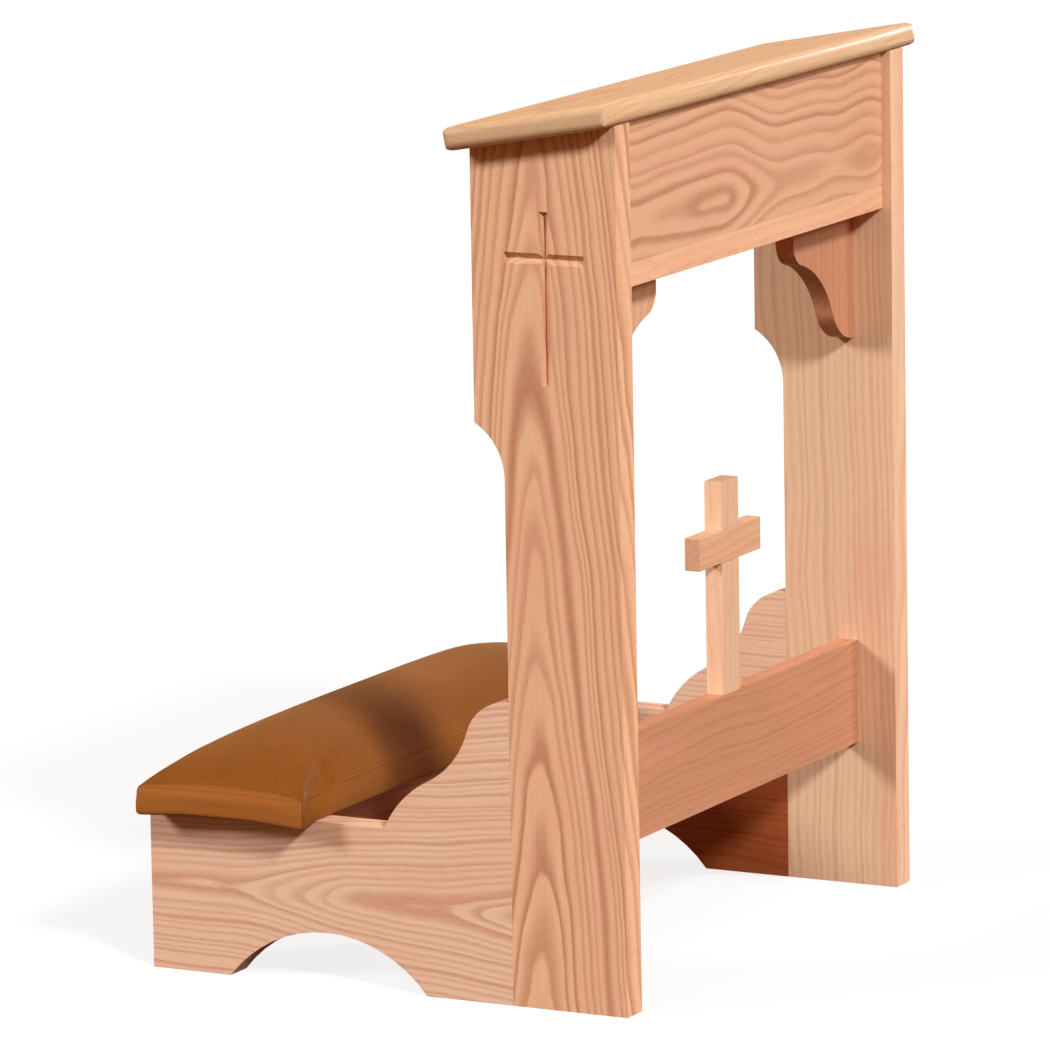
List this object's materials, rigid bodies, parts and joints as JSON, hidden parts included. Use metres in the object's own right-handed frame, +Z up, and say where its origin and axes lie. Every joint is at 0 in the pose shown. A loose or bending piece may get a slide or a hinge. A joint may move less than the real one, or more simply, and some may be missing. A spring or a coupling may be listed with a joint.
{
  "type": "kneeling bench",
  "caption": "Free-standing wooden kneeling bench with a sloping arm board, book shelf behind an apron, curved side frames and an upholstered kneeler.",
  "frame": {"origin": "on the floor, under the middle of the bounding box", "axes": "+Z up; -Y is the front, where the apron is; the person kneels at the +Y end and faces -Y; +X is across the bench, to the right for someone who looks at the front from -Y"},
  "size_m": [0.665, 0.5016, 0.8381],
  "materials": {
    "oak": "satin",
    "plywood": "matte",
    "dowel": "matte",
    "upholstery": "matte",
    "foam": "matte",
    "steel": "satin"
  },
  "bodies": {
    "root": {"upright_left": "oak", "upright_right": "oak", "base_board_left": "oak", "base_board_right": "oak", "top_board": "oak", "apron_panel": "oak", "book_shelf": "oak", "bracket_left": "oak", "bracket_right": "oak", "lower_rail": "oak", "cross_post": "oak", "cross_arm": "oak", "kneeler_stretcher": "oak", "kneeler_cleats": "oak", "kneeler_board": "plywood", "kneeler_foam": "foam", "kneeler_cover": "upholstery", "cover_staples": "steel", "kneeler_screws": "steel", "cleat_screws": "steel", "base_dowels": "dowel", "rail_dowels": "dowel", "apron_dowels": "dowel", "shelf_dowels": "dowel", "stretcher_dowels": "dowel", "bracket_dowels": "dowel", "top_dowels": "dowel", "cross_dowel": "dowel"}
  },
  "joints": []
}
